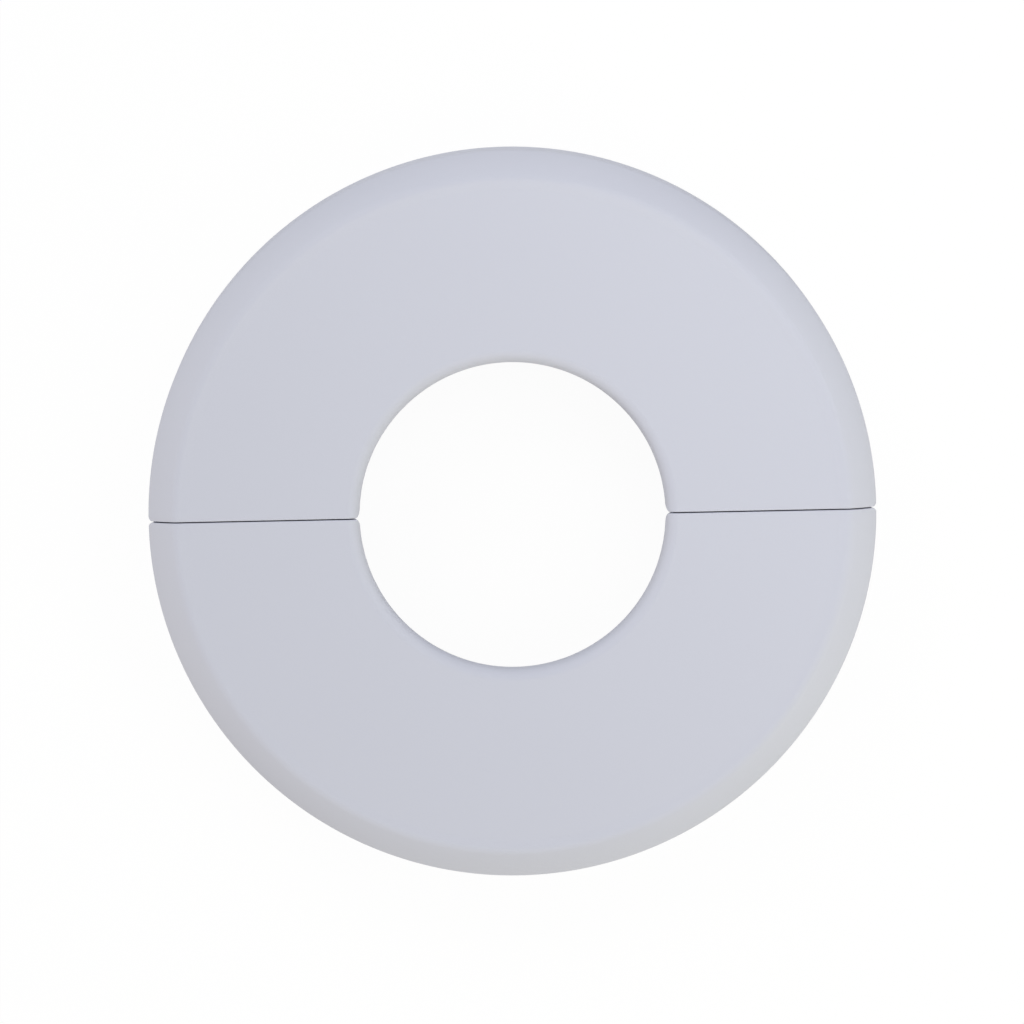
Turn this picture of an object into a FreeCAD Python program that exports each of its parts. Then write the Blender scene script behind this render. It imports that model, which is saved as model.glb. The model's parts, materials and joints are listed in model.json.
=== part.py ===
import FreeCAD, Part
import math
import os

import Sketcher

# A split collar that covers the hole round a radiator pipe. It is two identical moulded half
# rings, hollow at the back, that push together round the pipe. A tongue at one end of each half
# enters a slot at the end of the other half, so the two faces stay flush along the seam.
#
# The wall is the plane z = 0, the pipe runs along Z through the origin, and the front face looks
# towards +Z. The seam lies along X, with the upper half on its +Y side.

# Driving sizes in millimetres, with what each one measures.
SIZES = {
    "pipe_diameter": (22.0, "outside of the pipe"),
    "pipe_clearance": (0.25, "room between the pipe and the bore, all round"),
    "outer_diameter": (54.0, "across the collar at the wall"),
    "collar_depth": (8.0, "from the wall to the front face"),
    "face_wall": (1.4, "thickness of the front face"),
    "rim_wall": (1.4, "thickness of the outer rim at the wall"),
    "lip_wall": (1.3, "thickness of the lip round the bore"),
    "lip_drop": (0.5, "how far the lip stands down past the inside of the face"),
    "end_wall": (1.4, "thickness of the walls along the seam"),
    "end_setback": (2.5, "from the wall to the back of the end walls"),
    "end_relief": (0.6, "from the bore to the inner edge of the end walls"),
    "rim_draft": (0.2, "how far the rim leans in between the wall and the bevel"),
    "bevel_width": (2.25, "width of the bevel, seen from the front"),
    "bevel_drop": (2.0, "from the front face down to where the bevel meets the rim"),
    "bevel_radius": (7.0, "radius of the bevel's gently rounded section"),
    "bore_round": (1.0, "radius where the front face turns into the bore"),
    "roof_chamfer": (1.2, "sloping corner inside the hollow, under the bevel"),
    "seam_gap": (0.1, "gap between the two halves"),
    "seam_corner": (0.4, "radius of each half's corners at the ends of the seam"),
    "tongue_width": (6.0, "width of the tongue along the seam"),
    "tongue_thickness": (1.5, "thickness of the tongue"),
    "tongue_reach": (4.5, "how far the tongue stands out past the seam"),
    "tongue_clearance": (0.1, "room round the tongue in its slot"),
    "tongue_lead": (0.4, "chamfer on the tip of the tongue"),
    "tongue_corner": (1.0, "cut-off corners of the tongue, seen from the front"),
}

# Places that follow from the driving sizes.
PIPE = "(sizes.pipe_diameter / 2)"
BORE = f"({PIPE} + sizes.pipe_clearance)"
RIM = "(sizes.outer_diameter / 2)"
LIP = f"({BORE} + sizes.lip_wall)"
HOLLOW = f"({RIM} - sizes.rim_wall)"
FACE = "sizes.collar_depth"
ROOF = "(sizes.collar_depth - sizes.face_wall)"
LIP_BACK = f"({ROOF} - sizes.lip_drop)"
SEAM = "(sizes.seam_gap / 2)"
INNER_END = f"({SEAM} + sizes.end_wall)"
END_START = f"({BORE} + sizes.end_relief)"
TONGUE_PLACE = f"(({LIP} + {HOLLOW} - sizes.roof_chamfer) / 2)"
TONGUE_TOP = f"({ROOF} - sizes.tongue_clearance)"
SLOT_BOTTOM = f"({TONGUE_TOP} - sizes.tongue_thickness - sizes.tongue_clearance)"

# The seam's rounded corners run out past the walls by the rest of this share of their radius, so
# that the cut crosses each wall at an angle instead of grazing it.
CORNER_SHARE = 0.94

# Which way an arc bends as the outline is followed.
LEFT = 1
RIGHT = -1

# How close two lengths are to count as equal.
TOLERANCE = 1e-4

doc = FreeCAD.newDocument("pipe_collar")


def make_sheet():
    """The spreadsheet of driving sizes: name, value and meaning on each row."""
    sizes = doc.addObject("Spreadsheet::Sheet", "sizes")
    for row, (alias, (value, meaning)) in enumerate(SIZES.items(), start=1):
        sizes.set(f"A{row}", alias)
        sizes.set(f"B{row}", str(value))
        sizes.setAlias(f"B{row}", alias)
        sizes.set(f"C{row}", meaning)
    doc.recompute()
    return sizes


sheet = make_sheet()


def now(expression):
    """What an expression on the sizes comes to with the present values."""
    return float(sheet.evalExpression(expression))


def new_sketch(body, name, plane, height=None):
    """A sketch on one of the body's own origin planes, raised along the plane's normal."""
    sketch = body.newObject("Sketcher::SketchObject", name)
    support = next(item for item in body.Origin.OriginFeatures if item.Role == plane)
    sketch.AttachmentSupport = (support, [""])
    sketch.MapMode = "FlatFace"
    if height:
        sketch.setExpression(".AttachmentOffset.Base.z", height)
    return sketch


def bind(sketch, kind, where, expression):
    """Adds a dimension to the sketch and ties it to the sizes."""
    index = sketch.addConstraint(Sketcher.Constraint(kind, *where, now(expression)))
    sketch.setExpression(f"Constraints[{index}]", expression)


def arc_between(start, end, radius, turn):
    """The arc of a circle from start to end, the shorter way round."""
    chord = end - start
    across = FreeCAD.Vector(-chord.y, chord.x, 0).normalize()
    rise = math.sqrt(radius**2 - (chord.Length / 2) ** 2)
    centre = (start + end) / 2 + across * rise * turn
    circle = Part.Circle(centre, FreeCAD.Vector(0, 0, 1), radius)
    first, last = (start, end) if turn == LEFT else (end, start)
    return Part.ArcOfCircle(circle, circle.parameter(first), circle.parameter(last))


def draw_outline(sketch, corners):
    """Draws a closed outline. A corner is its x and y as expressions on the sizes. Where the way to
    the next corner is an arc, the corner also has the arc's radius and its turn."""
    points = [FreeCAD.Vector(now(corner[0]), now(corner[1]), 0) for corner in corners]
    ends = []
    for index, corner in enumerate(corners):
        start = points[index]
        end = points[(index + 1) % len(points)]
        if len(corner) == 2:
            edge = sketch.addGeometry(Part.LineSegment(start, end))
            ends.append((edge, 1, 2))
            continue
        radius, turn = corner[2:]
        edge = sketch.addGeometry(arc_between(start, end, now(radius), turn))
        bind(sketch, "Radius", (edge,), radius)
        ends.append((edge, 1, 2) if turn == LEFT else (edge, 2, 1))
    for index, corner in enumerate(corners):
        edge, first, last = ends[index]
        following, joined, _ = ends[(index + 1) % len(ends)]
        sketch.addConstraint(Sketcher.Constraint("Coincident", edge, last, following, joined))
        bind(sketch, "DistanceX", (-1, 1, edge, first), corner[0])
        bind(sketch, "DistanceY", (-1, 1, edge, first), corner[1])


def draw_half_ring(sketch, inner, outer, end):
    """Draws the half of a ring that lies above the line y = end, with both arcs about the origin."""
    origin = FreeCAD.Vector(0, 0, 0)
    axis = FreeCAD.Vector(0, 0, 1)
    arcs = []
    for radius in (outer, inner):
        start = math.asin(now(end) / now(radius))
        circle = Part.Circle(origin, axis, now(radius))
        arc = sketch.addGeometry(Part.ArcOfCircle(circle, start, math.pi - start))
        sketch.addConstraint(Sketcher.Constraint("Coincident", arc, 3, -1, 1))
        bind(sketch, "Radius", (arc,), radius)
        arcs.append(arc)
    for side in (1, 2):
        corners = [sketch.getPoint(arc, side) for arc in arcs]
        line = sketch.addGeometry(Part.LineSegment(*corners))
        for place, arc in enumerate(arcs, start=1):
            sketch.addConstraint(Sketcher.Constraint("Coincident", line, place, arc, side))
        sketch.addConstraint(Sketcher.Constraint("Horizontal", line))
        bind(sketch, "DistanceY", (-1, 1, line, 1), end)


def cut(body, name, sketch, depth=None, away=False):
    """A pocket from a sketch, right through where no depth is given, that has to remove material."""
    before = body.Shape.Volume
    pocket = body.newObject("PartDesign::Pocket", name)
    pocket.Profile = sketch
    pocket.Reversed = away
    if depth:
        pocket.setExpression("Length", depth)
    else:
        pocket.Type = "ThroughAll"
    doc.recompute()
    if not body.Shape.Volume < before - TOLERANCE:
        raise RuntimeError(f"{name} removed nothing from {body.Label}")


def edges_where(shape, test):
    """The names of the edges of a shape that pass a test."""
    return [f"Edge{number}" for number, edge in enumerate(shape.Edges, start=1) if test(edge)]


def chamfer(body, name, size, edges):
    """A chamfer on the named edges of the body's latest feature."""
    base = body.Tip
    feature = body.newObject("PartDesign::Chamfer", name)
    feature.Base = (base, edges)
    feature.setExpression("Size", size)
    doc.recompute()


def revolve_section(body):
    """Half a turn of the collar's section: lip, front face, bevel and rim, still filled in."""
    sketch = new_sketch(body, "section", "XZ_Plane")
    draw_outline(
        sketch,
        [
            (BORE, LIP_BACK),
            (END_START, LIP_BACK),
            (END_START, "sizes.end_setback"),
            (HOLLOW, "sizes.end_setback"),
            (HOLLOW, "0"),
            (RIM, "0"),
            (f"{RIM} - sizes.rim_draft", f"{FACE} - sizes.bevel_drop", "sizes.bevel_radius", LEFT),
            (f"{RIM} - sizes.bevel_width", FACE),
            (f"{BORE} + sizes.bore_round", FACE, "sizes.bore_round", LEFT),
            (BORE, f"{FACE} - sizes.bore_round"),
        ],
    )
    ring = body.newObject("PartDesign::Revolution", "half_ring")
    ring.Profile = sketch
    ring.ReferenceAxis = (sketch, ["V_Axis"])
    ring.Angle = 180
    doc.recompute()
    if ring.Shape.CenterOfMass.y < 0:
        ring.Reversed = True
        doc.recompute()


def cut_seam(body):
    """Trims the half ring back from the seam and rounds its four corners there."""
    corner = "sizes.seam_corner"
    top = f"{SEAM} + {corner}"
    outside = f"{RIM} + {corner} * 2"
    below = f"-{corner} * 2"
    at_rim = f"({RIM} - {corner} * {CORNER_SHARE})"
    at_bore = f"({BORE} + {corner} * {CORNER_SHARE})"
    sketch = new_sketch(body, "seam_plan", "XY_Plane", FACE)
    draw_outline(
        sketch,
        [
            (f"-({outside})", below),
            (outside, below),
            (outside, top),
            (f"{at_rim} + {corner}", top, corner, RIGHT),
            (at_rim, SEAM),
            (at_bore, SEAM, corner, RIGHT),
            (f"{at_bore} - {corner}", top),
            (f"-({at_bore} - {corner})", top, corner, RIGHT),
            (f"-{at_bore}", SEAM),
            (f"-{at_rim}", SEAM, corner, RIGHT),
            (f"-({at_rim} + {corner})", top),
            (f"-({outside})", top),
        ],
    )
    cut(body, "seam", sketch)


def hollow_back(body):
    """Hollows the half ring from the back, deeper outside the lip than under it, and leaves a wall at
    each end of the seam. A sloping corner keeps the wall even under the bevel."""
    for name, inner, outer, depth in (
        ("hollow", LIP, HOLLOW, ROOF),
        ("under_lip", PIPE, f"({LIP} + sizes.lip_wall)", LIP_BACK),
    ):
        sketch = new_sketch(body, f"{name}_plan", "XY_Plane")
        draw_half_ring(sketch, inner, outer, INNER_END)
        cut(body, name, sketch, depth, away=True)
    chamfer(body, "roof_corner", "sizes.roof_chamfer", edges_where(body.Shape, is_outer_roof_edge))


def is_outer_roof_edge(edge):
    """True for the arc where the rim meets the roof of the hollow."""
    if not isinstance(edge.Curve, Part.Circle):
        return False
    at_roof = abs(edge.CenterOfMass.z - now(ROOF)) < TOLERANCE
    return at_roof and abs(edge.Curve.Radius - now(HOLLOW)) < TOLERANCE


def add_tongue(body):
    """The tongue at the +X end. It grows out of the end wall and passes under the other half's face."""
    half = "sizes.tongue_width / 2"
    corner = "sizes.tongue_corner"
    root = f"{SEAM} + sizes.end_wall / 2"
    tip = f"-({SEAM} + sizes.tongue_reach)"
    sketch = new_sketch(body, "tongue_plan", "XY_Plane", f"{TONGUE_TOP} - sizes.tongue_thickness")
    draw_outline(
        sketch,
        [
            (f"{TONGUE_PLACE} - {half}", root),
            (f"{TONGUE_PLACE} - {half}", f"{tip} + {corner}"),
            (f"{TONGUE_PLACE} - {half} + {corner}", tip),
            (f"{TONGUE_PLACE} + {half} - {corner}", tip),
            (f"{TONGUE_PLACE} + {half}", f"{tip} + {corner}"),
            (f"{TONGUE_PLACE} + {half}", root),
        ],
    )
    tongue = body.newObject("PartDesign::Pad", "tongue")
    tongue.Profile = sketch
    tongue.setExpression("Length", "sizes.tongue_thickness")
    doc.recompute()
    at_tip = edges_where(body.Shape, lambda edge: edge.BoundBox.YMax < now(tip) + TOLERANCE)
    level = [name for name in at_tip if body.Shape.getElement(name).BoundBox.ZLength < TOLERANCE]
    chamfer(body, "tongue_tip", "sizes.tongue_lead", level)


def cut_slot(body):
    """The slot at the -X end, right under the face, that takes the other half's tongue."""
    half = "(sizes.tongue_width / 2 + sizes.tongue_clearance)"
    sketch = new_sketch(body, "slot_outline", "XZ_Plane")
    draw_outline(
        sketch,
        [
            (f"-{TONGUE_PLACE} - {half}", SLOT_BOTTOM),
            (f"-{TONGUE_PLACE} + {half}", SLOT_BOTTOM),
            (f"-{TONGUE_PLACE} + {half}", ROOF),
            (f"-{TONGUE_PLACE} - {half}", ROOF),
        ],
    )
    cut(body, "slot", sketch, f"{INNER_END} + sizes.end_wall / 2")


def make_half(label, turned):
    """One moulded half, turned about the pipe by that many degrees."""
    body = doc.addObject("PartDesign::Body", label)
    body.Label = label
    revolve_section(body)
    cut_seam(body)
    hollow_back(body)
    add_tongue(body)
    cut_slot(body)
    about_pipe = FreeCAD.Rotation(FreeCAD.Vector(0, 0, 1), turned)
    body.Placement = FreeCAD.Placement(FreeCAD.Vector(0, 0, 0), about_pipe)
    return body


def check(halves):
    """Stops if a feature failed or a half isn't one sound solid."""
    for item in doc.Objects:
        if "Invalid" in item.State or "Error" in item.State:
            raise RuntimeError(f"{item.Label} failed: {item.State}")
    for half in halves:
        if half.Shape.isNull() or not half.Shape.isValid() or len(half.Shape.Solids) != 1:
            raise RuntimeError(f"{half.Label} isn't one sound solid")


def main():
    halves = [make_half("upper_half", 0), make_half("lower_half", 180)]
    doc.recompute()
    check(halves)
    os.makedirs("parts", exist_ok=True)
    for half in halves:
        half.Shape.exportStep(f"parts/{half.Label}.step")
        box = half.Shape.BoundBox
        size = f"{box.XLength:.2f} x {box.YLength:.2f} x {box.ZLength:.2f} mm"
        print(f"{half.Label}: {size}, {half.Shape.Volume:.1f} mm3, {len(half.Shape.Faces)} faces")


main()
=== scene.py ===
# %% [markdown]
# # A radiator pipe collar
# A split collar is pushed round a heating pipe to hide the rough hole where the pipe leaves the
# wall. It is two identical half rings of white plastic that meet along a straight seam. This
# lesson loads the collar's solids as a frame, models one half again with Blender's own tools,
# turns a copy of it for the other half, and gives both a satin finish under soft light.

# %% Load the packed collar
import json
import math

import bmesh
import bpy
from mathutils import Matrix, Vector


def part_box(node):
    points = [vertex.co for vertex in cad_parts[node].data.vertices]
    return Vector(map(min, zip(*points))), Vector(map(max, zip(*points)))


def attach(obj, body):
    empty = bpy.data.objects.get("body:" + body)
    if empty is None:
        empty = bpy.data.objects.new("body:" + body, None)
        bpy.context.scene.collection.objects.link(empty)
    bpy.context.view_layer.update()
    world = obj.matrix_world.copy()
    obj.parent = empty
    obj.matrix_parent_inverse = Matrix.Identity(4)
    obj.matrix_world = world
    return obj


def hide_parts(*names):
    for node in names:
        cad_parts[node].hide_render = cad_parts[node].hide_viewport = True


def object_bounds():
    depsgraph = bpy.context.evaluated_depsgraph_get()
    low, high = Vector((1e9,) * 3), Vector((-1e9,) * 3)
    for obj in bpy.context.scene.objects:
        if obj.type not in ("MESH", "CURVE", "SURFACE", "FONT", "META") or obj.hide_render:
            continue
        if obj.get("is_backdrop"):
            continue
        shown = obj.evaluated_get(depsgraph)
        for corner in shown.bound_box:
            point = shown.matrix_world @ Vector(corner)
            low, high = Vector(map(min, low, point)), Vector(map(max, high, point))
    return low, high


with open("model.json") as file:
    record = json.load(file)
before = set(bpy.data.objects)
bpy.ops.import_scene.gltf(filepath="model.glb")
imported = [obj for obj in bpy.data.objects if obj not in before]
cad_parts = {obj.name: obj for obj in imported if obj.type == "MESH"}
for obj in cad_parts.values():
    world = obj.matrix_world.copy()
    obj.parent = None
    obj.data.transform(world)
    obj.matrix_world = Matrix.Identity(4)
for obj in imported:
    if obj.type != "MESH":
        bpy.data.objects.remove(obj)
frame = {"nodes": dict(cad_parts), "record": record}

MM = 0.001
cad_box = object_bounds()
print("solids:", sorted(frame["nodes"]))
print("their box in mm:", [[round(side / MM, 2) for side in corner] for corner in cad_box])

# %% [markdown]
# ## Sizes
# The wall is the plane z = 0, the pipe runs along Z, and the seam lies along X. What has to fit,
# such as the bore, the overall height and the reach of the tongue, is read from the frame, so the
# visible collar can't drift away from the solids. The facets of a round solid cut its arc a little
# short, so the rim's radius is taken to the nearest tenth of a millimetre. The walls and bevels
# inside the section repeat the sizes that the collar was drawn with.

# %% Read the sizes
half_low, half_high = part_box("upper_half")
bore = next(mount for mount in frame["record"]["mounts"] if mount["name"] == "pipe_bore")
bore_radius = bore["dims"]["r_mm"] * MM
bore_reach = bore["dims"]["length_mm"] * MM / 2
lip_back = bore["pos_m"][2] - bore_reach
face_height = half_high.z
bore_round = face_height - (bore["pos_m"][2] + bore_reach)
rim_radius = round(half_high.y, 4)
tongue_tip = half_low.y

rim_wall = 1.4 * MM
lip_wall = 1.3 * MM
face_wall = 1.4 * MM
lip_radius = bore_radius + lip_wall
hollow_radius = rim_radius - rim_wall
roof = face_height - face_wall
print(f"bore {bore_radius / MM:.2f}, rim {rim_radius / MM:.2f}, height {face_height / MM:.2f} mm")

# %% [markdown]
# ## The section
# The collar was moulded as a thin shell, and its form is one section swept half a turn: a short
# lip round the pipe, a flat face, a bevel with a gently rounded back, and a rim that leans in a
# little so that it leaves the mould. The face sinks by a few hundredths of a millimetre as it
# cools, and that leaves a faint crest along the bevel. A stack of cylinders could stand for the
# section, but then the crest and the soft break into the bevel would be lost, and they are what
# catches the light. So the outline is drawn corner by corner, each with the radius of the mould.

# %% Corners of the section
bevel_width = 2.25 * MM
bevel_drop = 2.0 * MM
bevel_radius = 7.0 * MM
rim_draft = 0.2 * MM
roof_chamfer = 1.2 * MM
face_break = 0.9 * MM
face_sink = 0.06 * MM
crest_width = 0.8 * MM
crest_hollow = 4.0 * MM
rim_break = 0.9 * MM
foot_round = 0.15 * MM
bevel_steps = 8


def arc_points(centre, start, end, steps):
    """Points on the arc from start to end about a centre, both ends included."""
    radius = (start - centre).length
    spans = [(start - centre).lerp(end - centre, step / steps) for step in range(steps + 1)]
    return [centre + span.normalized() * radius for span in spans]


def rounded(before, point, after, radius, steps=6):
    """The arc that takes the place of one corner between two straight runs."""
    back = (before - point).normalized()
    ahead = (after - point).normalized()
    half_angle = back.angle(ahead) / 2
    reach = radius / math.tan(half_angle)
    centre = point + (back + ahead).normalized() * radius / math.sin(half_angle)
    return arc_points(centre, point + back * reach, point + ahead * reach, steps)


sunk_height = face_height - face_sink
bevel_top = Vector((rim_radius - bevel_width, face_height))
bevel_foot = Vector((rim_radius - rim_draft, face_height - bevel_drop))
chord = bevel_foot - bevel_top
inwards = Vector((chord.y, -chord.x)).normalized()
centre_reach = math.sqrt(bevel_radius ** 2 - (chord.length / 2) ** 2)
bevel_centre = bevel_top + chord / 2 + inwards * centre_reach
bevel_back = arc_points(bevel_centre, bevel_top, bevel_foot, bevel_steps)[1:-1]

corners = [
    (Vector((bore_radius, lip_back)), foot_round),
    (Vector((bore_radius, sunk_height)), bore_round - face_sink),
    (Vector((bevel_top.x - crest_width, sunk_height)), crest_hollow),
    (bevel_top, face_break),
    *[(point, 0) for point in bevel_back],
    (bevel_foot, rim_break),
    (Vector((rim_radius, 0)), foot_round),
    (Vector((hollow_radius, 0)), foot_round),
    (Vector((hollow_radius, roof - roof_chamfer)), 0),
    (Vector((hollow_radius - roof_chamfer, roof)), 0),
    (Vector((lip_radius, roof)), 0),
    (Vector((lip_radius, lip_back)), foot_round),
]
outline = []
for place, (point, radius) in enumerate(corners):
    before = corners[place - 1][0]
    after = corners[(place + 1) % len(corners)][0]
    outline += rounded(before, point, after, radius) if radius else [point]
print("section:", len(corners), "corners,", len(outline), "points")

# %% [markdown]
# ## One half ring
# In edit mode a plane is merged to a single point, and that point is extruded from corner to
# corner. Its last place is also its first, and merging doubles closes the outline there. Spin then
# sweeps it half a turn. The two ends are capped with one face each and moved off the seam by half
# of its gap. After a spin the faces may look inwards, so the last step works out their normals.

# %% Helpers for work in edit mode
NEAR = 0.002 * MM


def near(value, target):
    return abs(value - target) < NEAR


def radius_of(corner):
    """How far a corner is from the pipe's axis."""
    return math.hypot(corner.x, corner.y)


def pick(kind, test):
    """Selects the vertices or edges whose list of corners passes the test, and counts them."""
    bpy.ops.mesh.select_mode(type=kind)
    bpy.ops.mesh.select_all(action="DESELECT")
    mesh = bpy.context.object.data
    shape = bmesh.from_edit_mesh(mesh)
    parts = shape.verts if kind == "VERT" else shape.edges
    for part in parts:
        points = [part.co] if kind == "VERT" else [corner.co for corner in part.verts]
        part.select_set(test(points))
    chosen = sum(part.select for part in parts)
    bmesh.update_edit_mesh(mesh)
    return chosen


# %% Draw and spin the section
spin_steps = 128
seam_half_gap = 0.045 * MM
start_size = 1 * MM

bpy.ops.object.select_all(action="DESELECT")
bpy.ops.mesh.primitive_plane_add(size=start_size)
upper = bpy.context.object
upper.name = "upper_half_moulding"
bpy.ops.object.mode_set(mode="EDIT")
bpy.ops.mesh.merge(type="CENTER")
bpy.ops.transform.translate(value=(outline[0].x, 0, outline[0].y))
for start, end in zip(outline, outline[1:] + outline[:1]):
    step = (end.x - start.x, 0, end.y - start.y)
    bpy.ops.mesh.extrude_vertices_move(TRANSFORM_OT_translate={"value": step})
bpy.ops.mesh.select_all(action="SELECT")
bpy.ops.mesh.remove_doubles(threshold=NEAR)
bpy.ops.mesh.select_all(action="SELECT")
bpy.ops.mesh.spin(steps=spin_steps, angle=-math.pi, center=(0, 0, 0), axis=(0, 0, 1))

for side in (1, -1):
    pick("EDGE", lambda points: all(near(p.y, 0) and p.x * side > 0 for p in points))
    bpy.ops.mesh.edge_face_add()
pick("VERT", lambda points: near(points[0].y, 0))
bpy.ops.transform.translate(value=(0, seam_half_gap, 0))
bpy.ops.mesh.select_all(action="SELECT")
bpy.ops.mesh.normals_make_consistent(inside=False)
print("half ring:", len(bmesh.from_edit_mesh(upper.data).faces), "faces")
bpy.ops.object.mode_set(mode="OBJECT")

# %% [markdown]
# ## Seam edges
# The halves meet with edges that are only just broken, so the seam is a hairline. The edges on the
# outer side of both ends are picked by their place and bevelled together, all by the same width.

# %% Break the edges along the seam
seam_break = 0.07 * MM
seam_break_steps = 3
middle_radius = (bore_radius + rim_radius) / 2


def shows_at_seam(ends):
    """True for an edge of an end cap on the outer side of the shell, away from its back."""
    middle = (ends[0] + ends[1]) / 2
    across = radius_of(middle)
    on_seam = all(near(end.y, seam_half_gap) for end in ends)
    between_walls = bore_radius + rim_wall / 2 < across < rim_radius - rim_wall / 2
    in_hollow = between_walls and middle.z < roof + NEAR
    back = 0 if across > middle_radius else lip_back
    return on_seam and not in_hollow and middle.z > back + foot_round


bpy.ops.object.mode_set(mode="EDIT")
print("seam edges broken:", pick("EDGE", shows_at_seam))
bpy.ops.mesh.bevel(offset=seam_break, segments=seam_break_steps, affect="EDGES")
bpy.ops.object.mode_set(mode="OBJECT")

# %% [markdown]
# ## End walls, tongue and slot
# A thin wall closes the shell at each end of the seam. The wall on the right carries a flat tongue,
# and the wall on the left has a slot for one right under the face. Both halves come from one mould,
# so turning one of them brings each tongue to the other's slot. All of these start as cubes between
# two corners. A Boolean joins the walls and the tongue to the shell, which they reach into by a
# small bite, and cuts the slot out. The walls stand back from the seam by a hair.

# %% Model the walls and the tongue, and cut the slot
end_wall = 1.4 * MM
end_setback = 2.5 * MM
end_relief = 0.6 * MM
hair = 0.02 * MM
bite = 0.3 * MM
inner_end = seam_half_gap + end_wall
tongue_width = 6 * MM
tongue_thickness = 1.5 * MM
tongue_clearance = 0.1 * MM
tongue_corner = 1.0 * MM
tongue_lead = 0.4 * MM
tongue_place = (lip_radius + hollow_radius - roof_chamfer) / 2
tongue_top = roof - tongue_clearance
tongue_root = seam_half_gap + end_wall / 2


def block(name, low, high):
    """A cube between two corners, left in edit mode with its object at the origin."""
    bpy.ops.object.select_all(action="DESELECT")
    bpy.ops.mesh.primitive_cube_add(size=1)
    cube = bpy.context.object
    cube.name = name
    bpy.ops.object.mode_set(mode="EDIT")
    bpy.ops.transform.resize(value=Vector(high) - Vector(low))
    bpy.ops.transform.translate(value=(Vector(high) + Vector(low)) / 2)
    return cube


def combine(piece, tool, operation):
    """Joins a tool shape to a piece, or cuts it out, and removes the tool."""
    bpy.ops.object.mode_set(mode="OBJECT")
    bpy.ops.object.select_all(action="DESELECT")
    piece.select_set(True)
    bpy.context.view_layer.objects.active = piece
    boolean = piece.modifiers.new(tool.name, "BOOLEAN")
    boolean.operation = operation
    boolean.object = tool
    boolean.solver = "EXACT"
    bpy.ops.object.modifier_apply(modifier=boolean.name)
    bpy.data.objects.remove(tool)


for side in (1, -1):
    across = sorted((side * (bore_radius + end_relief), side * (hollow_radius + bite)))
    wall = block(
        "end_wall",
        (across[0], seam_half_gap + hair, end_setback),
        (across[1], inner_end, roof + bite),
    )
    combine(upper, wall, "UNION")

tongue = block(
    "tongue",
    (tongue_place - tongue_width / 2, tongue_tip, tongue_top - tongue_thickness),
    (tongue_place + tongue_width / 2, tongue_root, tongue_top),
)
pick(
    "EDGE",
    lambda points: all(near(p.y, tongue_tip) for p in points) and near(points[0].x, points[1].x),
)
bpy.ops.mesh.bevel(offset=tongue_corner, segments=1, affect="EDGES")
pick(
    "EDGE",
    lambda points: all(near(p.y, tongue_tip) for p in points) and near(points[0].z, points[1].z),
)
bpy.ops.mesh.bevel(offset=tongue_lead, segments=1, affect="EDGES")
combine(upper, tongue, "UNION")

slot_half = tongue_width / 2 + tongue_clearance
slot = block(
    "slot",
    (-tongue_place - slot_half, -end_wall, tongue_top - tongue_thickness - tongue_clearance),
    (-tongue_place + slot_half, inner_end + end_wall / 2, roof - hair),
)
combine(upper, slot, "DIFFERENCE")
print("upper half:", len(upper.data.polygons), "faces")

# %% [markdown]
# ## Corners at the ends of the seam
# Where the seam runs out at the rim and at the bore, each half has a rounded corner, and two such
# corners make a small notch. They lean back towards the wall a little, as moulded walls do to leave
# the mould. The tool is a cube with a quarter of a round channel cut out of it. Its lower end is
# moved to give the lean, and a Boolean takes the corner off.

# %% Round the corners
rim_corner = 0.36 * MM
bore_corner = 0.55 * MM
corner_lean = math.tan(math.radians(4))
rim_lean = rim_draft / bevel_foot.y
tool_reach = 1 * MM
tool_low = -tool_reach
tool_high = face_height + tool_reach
channel_length = 4 * face_height
channel_sides = 64


def round_corner(wall, inwards, radius, lean_out):
    """Rounds the corner between the seam and a wall at x = wall, with the half ring inwards of it."""
    centre = Vector((wall + inwards * radius, seam_half_gap + radius, 0))
    across = sorted((wall - inwards * tool_reach, centre.x))
    tool = block("corner", (across[0], -tool_reach, tool_low), (across[1], centre.y, tool_high))
    bpy.ops.object.mode_set(mode="OBJECT")
    bpy.ops.object.select_all(action="DESELECT")
    bpy.ops.mesh.primitive_cylinder_add(
        vertices=channel_sides, radius=radius, depth=channel_length, location=centre
    )
    combine(tool, bpy.context.object, "DIFFERENCE")
    bpy.ops.object.mode_set(mode="EDIT")
    for level in (tool_low, tool_high):
        pick("VERT", lambda points: near(points[0].z, level))
        below = bevel_foot.y - level
        bpy.ops.transform.translate(value=(-inwards * below * lean_out, below * corner_lean, 0))
    combine(upper, tool, "DIFFERENCE")


for side in (1, -1):
    round_corner(side * bevel_foot.x, -side, rim_corner, rim_lean)
    round_corner(side * bore_radius, side, bore_corner, 0)
print("upper half:", len(upper.data.polygons), "faces with its corners rounded")

# %% [markdown]
# ## The other half
# The lower half is the same moulding turned half a turn round the pipe. It gets a mesh of its own,
# and its turn is applied, so that its object sits unturned at the origin like every other piece.
# Smooth shading stops at sharp edges, and weighted normals let the large flat face decide how its
# border is shaded, which keeps the face flat right up to the soft break.

# %% Turn a copy and shade both
bpy.ops.object.duplicate()
lower = bpy.context.object
lower.name = "lower_half_moulding"
bpy.ops.transform.rotate(value=math.pi, orient_axis="Z", center_override=(0, 0, 0))
bpy.ops.object.transform_apply(location=True, rotation=True, scale=True)

smooth_angle = math.radians(30)
for piece in (upper, lower):
    bpy.ops.object.select_all(action="DESELECT")
    piece.select_set(True)
    bpy.context.view_layer.objects.active = piece
    bpy.ops.object.shade_smooth_by_angle(angle=smooth_angle)
    flat_face = piece.modifiers.new("flat_face", "WEIGHTED_NORMAL")
    flat_face.keep_sharp = True
    bpy.ops.object.modifier_apply(modifier=flat_face.name)
    print(piece.name, "has", sum(len(face.vertices) - 2 for face in piece.data.polygons), "triangles")

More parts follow.
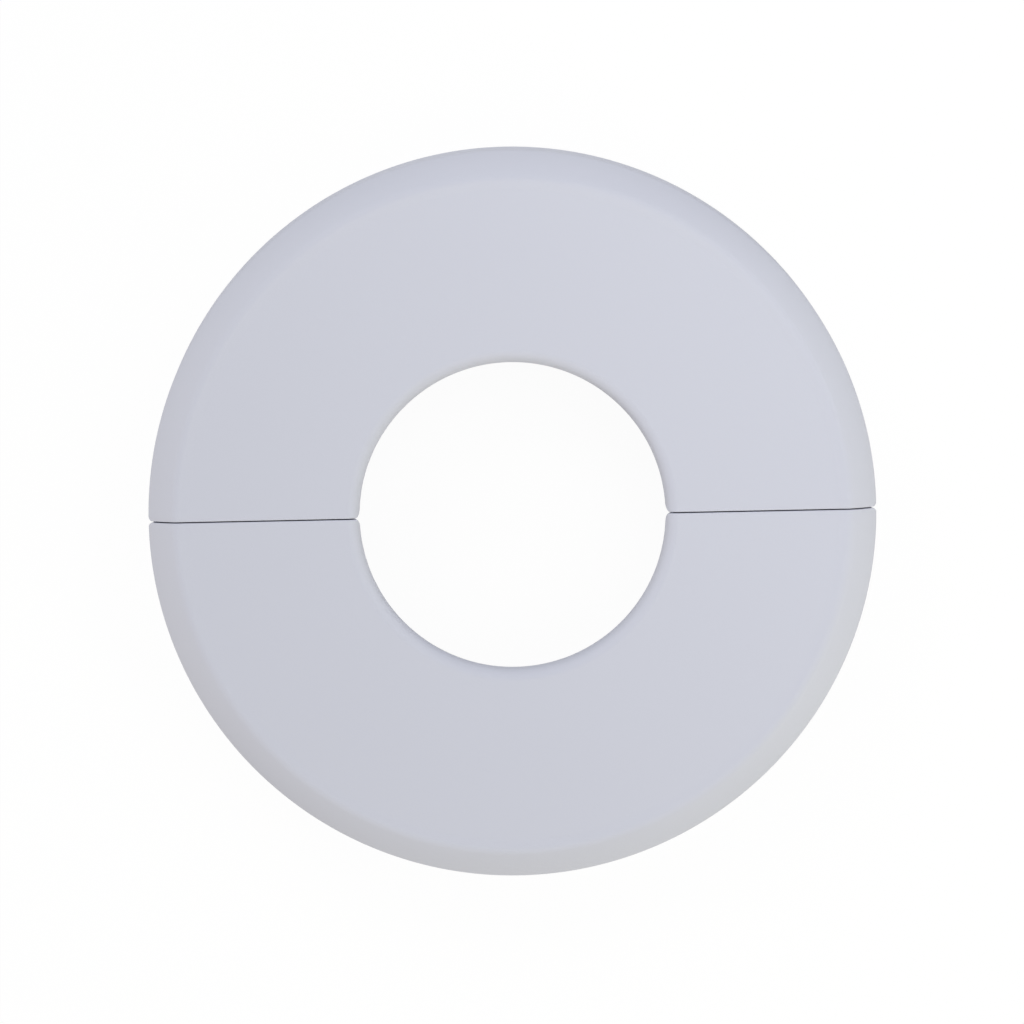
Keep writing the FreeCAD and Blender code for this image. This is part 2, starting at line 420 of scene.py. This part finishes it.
# %% [markdown]
# ## Shader maths as plain expressions
# A finish is easier to read as a formula than as a web of nodes. This class wraps a node's output,
# so that adding or multiplying two of them makes the Math node by itself. Any other node comes
# from its add method.


# %% A wire between shader nodes
class Wire:
    """One output of a shader node."""

    def __init__(self, socket):
        self.socket = socket

    @staticmethod
    def find(sockets, key):
        """A socket by its number, or by its name among those that the settings leave in use."""
        if isinstance(key, int):
            return sockets[key]
        return next(socket for socket in sockets if socket.enabled and socket.name == key)

    @classmethod
    def add(cls, tree, kind, settings=None, inputs=None, output=0):
        """Adds a node: its settings are set first, then the values or wires of its sockets."""
        node = tree.nodes.new(kind)
        for name, value in (settings or {}).items():
            setattr(node, name, value)
        for key, value in (inputs or {}).items():
            socket = cls.find(node.inputs, key)
            if isinstance(value, cls):
                tree.links.new(value.socket, socket)
            else:
                socket.default_value = value
        return cls(cls.find(node.outputs, output)) if node.outputs else None

    def math(self, operation, first, second):
        settings = {"operation": operation}
        return Wire.add(self.socket.id_data, "ShaderNodeMath", settings, {0: first, 1: second})

    def __add__(self, other):
        return self.math("ADD", self, other)

    def __radd__(self, other):
        return self.math("ADD", other, self)

    def __mul__(self, other):
        return self.math("MULTIPLY", self, other)

    def __rmul__(self, other):
        return self.math("MULTIPLY", other, self)


def empty_tree(owner):
    """The owner's node tree with nothing in it."""
    owner.use_nodes = True
    owner.node_tree.nodes.clear()
    return owner.node_tree


methods = [name for name in vars(Wire) if callable(getattr(Wire, name))]
print("a wire has", ", ".join(methods))

# %% [markdown]
# ## Satin white plastic
# The collar is a cool white plastic with a satin skin: the mould's fine grain breaks up every
# reflection, and the skin sinks by a few hundredths of a millimetre as it cools. The grain and
# the sinking are bump, since they are far smaller than any edge, and their heights are given in
# millimetres. The colour drifts very slightly over the face, as dyed granules do, and the gloss
# drifts too, in smaller blotches.

# %% Make the plastic
white = (0.634, 0.655, 0.75, 1)
white_drift = (0.624, 0.642, 0.738, 1)
drift_size = 14 * MM
drift_share = 0.7
speckle_size = 0.8 * MM
grain_size = 0.16 * MM
grain_height = 0.004
sink_size = 11 * MM
sink_height = 0.03
satin_size = 3 * MM
satin_roughness = 0.56
satin_drift = 0.08
plastic_ior = 1.49
plastic_specular = 0.35


def satin_plastic():
    """Cool white moulded plastic, on Object coordinates in metres."""
    plastic = bpy.data.materials.new("satin_white_plastic")
    tree = empty_tree(plastic)
    place = Wire.add(tree, "ShaderNodeTexCoord", output="Object")

    def noise(size, detail=2.0):
        """Even noise whose blotches are about that size in metres."""
        inputs = {"Vector": place, "Scale": 1 / size, "Detail": detail}
        return Wire.add(tree, "ShaderNodeTexNoise", None, inputs, "Fac")

    mottle = noise(drift_size) * drift_share + noise(speckle_size) * (1 - drift_share)
    tone = Wire.add(
        tree,
        "ShaderNodeMix",
        {"data_type": "RGBA"},
        {"Factor": mottle, "A": white, "B": white_drift},
        "Result",
    )
    grain = noise(grain_size, detail=3.0) * grain_height
    skin = grain + noise(sink_size, detail=1.0) * sink_height
    bump = Wire.add(
        tree, "ShaderNodeBump", None, {"Strength": 1.0, "Distance": MM, "Height": skin}
    )
    surface = Wire.add(
        tree,
        "ShaderNodeBsdfPrincipled",
        None,
        {
            "Base Color": tone,
            "Roughness": satin_roughness + noise(satin_size) * satin_drift,
            "IOR": plastic_ior,
            "Specular IOR Level": plastic_specular,
            "Normal": bump,
        },
    )
    Wire.add(tree, "ShaderNodeOutputMaterial", None, {"Surface": surface})
    return plastic


plastic = satin_plastic()
for piece, body in ((upper, "upper_half"), (lower, "lower_half")):
    piece.data.materials.clear()
    piece.data.materials.append(plastic)
    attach(piece, body)
    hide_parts(body)
print("plastic:", len(plastic.node_tree.nodes), "nodes")

# %% [markdown]
# ## Floor and background
# The collar lies on its back on a pale floor, as it would on a bench. To the camera nine tenths of
# the floor are plain white, so the outline reads clearly. The last tenth is lit by the lamps and
# keeps the collar's shadow. The floor is one plane, and its shader asks Light Path which kind of ray
# it meets.

# %% Lay the floor and set the world
floor_width = 4.0
floor_drop = 0.01 * MM
floor_colour = (0.5, 0.5, 0.5, 1)
shown_share = 0.9
shown_white = 1.06
white_light = (1, 1, 1, 1)
room_light = (0.5, 0.5, 0.5, 1)


def sees_background(tree):
    """1 for camera, glossy and see-through rays, which meet a white background."""
    camera_ray = Wire.add(tree, "ShaderNodeLightPath", output="Is Camera Ray")
    rays = camera_ray.socket.node.outputs
    return camera_ray + (Wire(rays["Is Glossy Ray"]) + Wire(rays["Is Transmission Ray"]))


def pale_floor():
    """A matt floor that keeps shadows and still shows almost white."""
    material = bpy.data.materials.new("pale_floor")
    tree = empty_tree(material)
    matt = Wire.add(tree, "ShaderNodeBsdfDiffuse", None, {"Color": floor_colour})
    glow = {"Color": white_light, "Strength": shown_white}
    shown = Wire.add(tree, "ShaderNodeEmission", None, glow)
    share = sees_background(tree) * shown_share
    surface = Wire.add(tree, "ShaderNodeMixShader", None, {0: share, 1: matt, 2: shown})
    Wire.add(tree, "ShaderNodeOutputMaterial", None, {"Surface": surface})
    return material


bpy.ops.object.select_all(action="DESELECT")
bpy.ops.mesh.primitive_plane_add(size=floor_width, location=(0, 0, -floor_drop))
floor = bpy.context.object
floor.name = "floor"
floor.data.materials.append(pale_floor())
floor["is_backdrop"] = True

room = bpy.data.worlds.new("room")
bpy.context.scene.world = room
tree = empty_tree(room)
lit = Wire.add(tree, "ShaderNodeBackground", None, {"Color": room_light})
shown = Wire.add(tree, "ShaderNodeBackground", None, {"Color": white_light})
mixed = Wire.add(tree, "ShaderNodeMixShader", None, {0: sees_background(tree), 1: lit, 2: shown})
Wire.add(tree, "ShaderNodeOutputWorld", None, {"Surface": mixed})
print("floor", floor_width, "m wide, world of", len(tree.nodes), "nodes")

# %% [markdown]
# ## Light
# Soft light shows a flat white face best, and the room gives about half of it, evenly from all
# sides. A broad softbox stands at the upper left. Two small lamps hang close over the right side, so
# the face darkens gently towards the lower left. Two warm lamps stand low at the lower corners and
# light the bevel there, where it is nearly as bright as the face. Lamps that stand this close could
# come into another view, so the camera doesn't see any of them.

# %% Place the lamps
target = Vector((0, 0, face_height))


def softbox(name, azimuth, elevation, distance, size, power, colour=(1, 1, 1)):
    """A square area lamp that looks at the collar, placed by angles in degrees."""
    around = math.radians(azimuth)
    up = math.radians(elevation)
    away = Vector((math.cos(around) * math.cos(up), math.sin(around) * math.cos(up), math.sin(up)))
    bpy.ops.object.light_add(type="AREA", location=target + away * distance)
    lamp = bpy.context.object
    lamp.name = name
    lamp.rotation_euler = away.to_track_quat("Z", "Y").to_euler()
    lamp.data.shape = "SQUARE"
    lamp.data.size = size
    lamp.data.energy = power
    lamp.data.color = colour
    lamp.visible_camera = False
    return lamp


# Each has two angles, a distance and a size in metres, its power in watts, and perhaps a tint.
lamps = [
    softbox("main_softbox", 120, 35, 0.5, 0.25, 0.63),
    softbox("upper_right_lamp", 60, 50, 0.1, 0.05, 0.016),
    softbox("right_lamp", 340, 45, 0.12, 0.06, 0.018),
    softbox("low_left_lamp", 215, 12, 0.5, 0.1, 0.54, (1.0, 0.9, 0.73)),
    softbox("low_right_lamp", 320, 12, 0.5, 0.1, 0.71, (1.0, 0.96, 0.7)),
]
print("lamps:", [(lamp.name, lamp.data.energy) for lamp in lamps])

# %% [markdown]
# ## Camera
# The photograph looks almost straight down at the face from about 40 cm away. The bevel looks
# wider along the upper side, which shows that the camera stood a few degrees to that side. The
# seam is turned by about a degree, and so is the camera.

# %% Place the camera
camera_distance = 404 * MM
camera_lens = 192.0
camera_tilt = math.radians(4.0)
camera_side = math.radians(-0.3)
camera_roll = math.radians(1.15)
camera_aim = Vector((-0.03, 0.03, 4.0)) * MM
sensor_width = 36.0
nearest_seen = 10 * MM

backward = Vector((math.tan(camera_side), math.tan(camera_tilt), 1)).normalized()
up = Vector((math.sin(camera_roll), math.cos(camera_roll), 0))
right = up.cross(backward).normalized()
up = backward.cross(right)
bpy.ops.object.camera_add(location=camera_aim + backward * camera_distance)
camera = bpy.context.object
camera.name = "camera"
camera.rotation_euler = Matrix((right, up, backward)).transposed().to_euler()
camera.data.lens = camera_lens
camera.data.sensor_width = sensor_width
camera.data.clip_start = nearest_seen
bpy.context.scene.camera = camera
bpy.context.scene.view_settings.view_transform = "Standard"
print("camera", [round(value / MM) for value in camera.location], "mm, lens", camera.data.lens)

# %% [markdown]
# ## The visible collar should stay as large as its solids, so both boxes are printed side by side.
# The visible collar has to stay as large as its solids. Both boxes are written down to compare.

# %% Print both boxes
boxes = {"cad": cad_box, "visual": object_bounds()}
boxes = {name: [list(corner) for corner in box] for name, box in boxes.items()}
print("boxes:", boxes)
